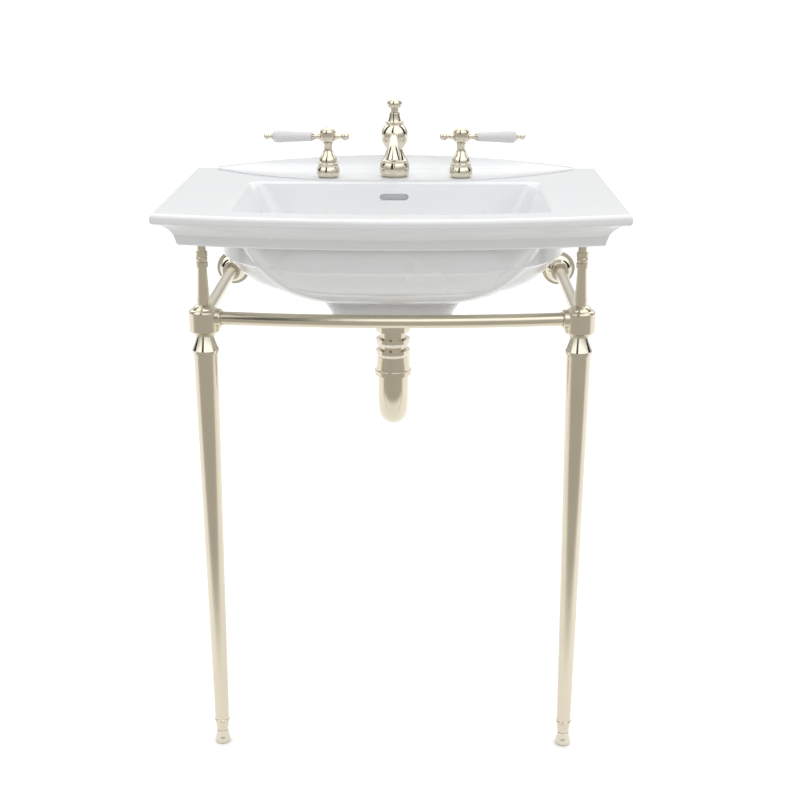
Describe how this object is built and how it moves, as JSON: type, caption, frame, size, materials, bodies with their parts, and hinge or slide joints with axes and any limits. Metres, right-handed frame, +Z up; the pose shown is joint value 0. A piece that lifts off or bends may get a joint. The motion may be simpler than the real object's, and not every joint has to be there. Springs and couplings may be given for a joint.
{
  "type": "console sink with legs",
  "caption": "Ceramic console basin on two turned metal front legs with rails to the wall, a three-hole tap set with ceramic levers, pop-up waste and P-trap.",
  "frame": {"origin": "on the floor, in the middle of the bounding box", "axes": "+X to the right as seen from the front, +Y to the wall, +Z up"},
  "size_m": [0.645, 0.499, 0.9708],
  "materials": {
    "basin_ceramic": "glossy white glaze",
    "lever_ceramic": "glossy white glaze",
    "polished_nickel": "polished nickel plate",
    "brass": "raw machined brass",
    "steel": "zinc-plated steel",
    "rubber": "matte black rubber",
    "insert_plastic": "matte light grey plastic"
  },
  "bodies": {
    "stand": {"basin": "basin_ceramic", "front_rail": "polished_nickel", "rosette_screws": "steel", "spout_base": "polished_nickel", "spout_body": "polished_nickel", "spout_aerator": "insert_plastic", "mixing_tee": "brass", "spout_locknut": "brass", "drain_flange": "polished_nickel", "drain_body": "polished_nickel", "drain_gasket": "rubber", "drain_nut": "brass", "pivot_nut": "brass", "tailpiece": "polished_nickel", "slip_ring_upper": "polished_nickel", "slip_ring_lower": "polished_nickel", "trap_nut": "polished_nickel", "trap_bend": "polished_nickel", "trap_arm": "polished_nickel", "outlet_nut": "polished_nickel", "wall_escutcheon": "polished_nickel", "left_leg": "polished_nickel", "left_leg_cap": "polished_nickel", "left_hub": "polished_nickel", "left_post": "polished_nickel", "left_side_rail": "polished_nickel", "left_wall_rosette": "polished_nickel", "left_valve_body": "brass", "left_valve_locknut": "brass", "left_handle_base": "polished_nickel", "left_connecting_tube": "brass", "right_leg": "polished_nickel", "right_leg_cap": "polished_nickel", "right_hub": "polished_nickel", "right_post": "polished_nickel", "right_side_rail": "polished_nickel", "right_wall_rosette": "polished_nickel", "right_valve_body": "brass", "right_valve_locknut": "brass", "right_handle_base": "polished_nickel", "right_connecting_tube": "brass"},
    "lift": {"lift_rod": "polished_nickel", "lift_clevis": "steel", "clevis_screw": "steel"},
    "pivot": {"pivot_rod": "steel"},
    "stopper": {"drain_stopper": "polished_nickel"},
    "left_handle": {"left_valve_stem": "brass", "left_handle_hub": "polished_nickel", "left_handle_cap": "polished_nickel", "left_lever_grip": "lever_ceramic", "left_lever_finial": "polished_nickel"},
    "left_levelling_foot": {"left_foot": "polished_nickel"},
    "right_handle": {"right_valve_stem": "brass", "right_handle_hub": "polished_nickel", "right_handle_cap": "polished_nickel", "right_lever_grip": "lever_ceramic", "right_lever_finial": "polished_nickel"},
    "right_levelling_foot": {"right_foot": "polished_nickel"}
  },
  "joints": [
    {"name": "left_handle_turn", "type": "hinge", "parent": "stand", "child": "left_handle", "pos_m": [-0.1016, 0.1145, 0.911], "axis": [0, 0, 1], "range_deg": [0, 90]},
    {"name": "right_handle_turn", "type": "hinge", "parent": "stand", "child": "right_handle", "pos_m": [0.1016, 0.1145, 0.911], "axis": [0, 0, 1], "range_deg": [-90, 0]},
    {"name": "lift_slide", "type": "slide", "parent": "stand", "child": "lift", "axis": [0, 0, 1], "range_m": [0, 0.018]},
    {"name": "pivot_swing", "type": "hinge", "parent": "stand", "child": "pivot", "pos_m": [0, -0.0015, 0.661], "axis": [1, 0, 0], "range_deg": [0, 7.84]},
    {"name": "stopper_slide", "type": "slide", "parent": "stand", "child": "stopper", "axis": [0, 0, -1], "range_m": [0, 0.00466]},
    {"name": "left_foot_level", "type": "slide", "parent": "stand", "child": "left_levelling_foot", "axis": [0, 0, -1], "range_m": [0, 0.01]},
    {"name": "right_foot_level", "type": "slide", "parent": "stand", "child": "right_levelling_foot", "axis": [0, 0, -1], "range_m": [0, 0.01]}
  ],
  "couplings": [
    {"joint": "pivot_swing", "follows": "lift_slide", "rad_per_m": 7.5901},
    {"joint": "stopper_slide", "follows": "lift_slide", "ratio": 0.25806}
  ]
}
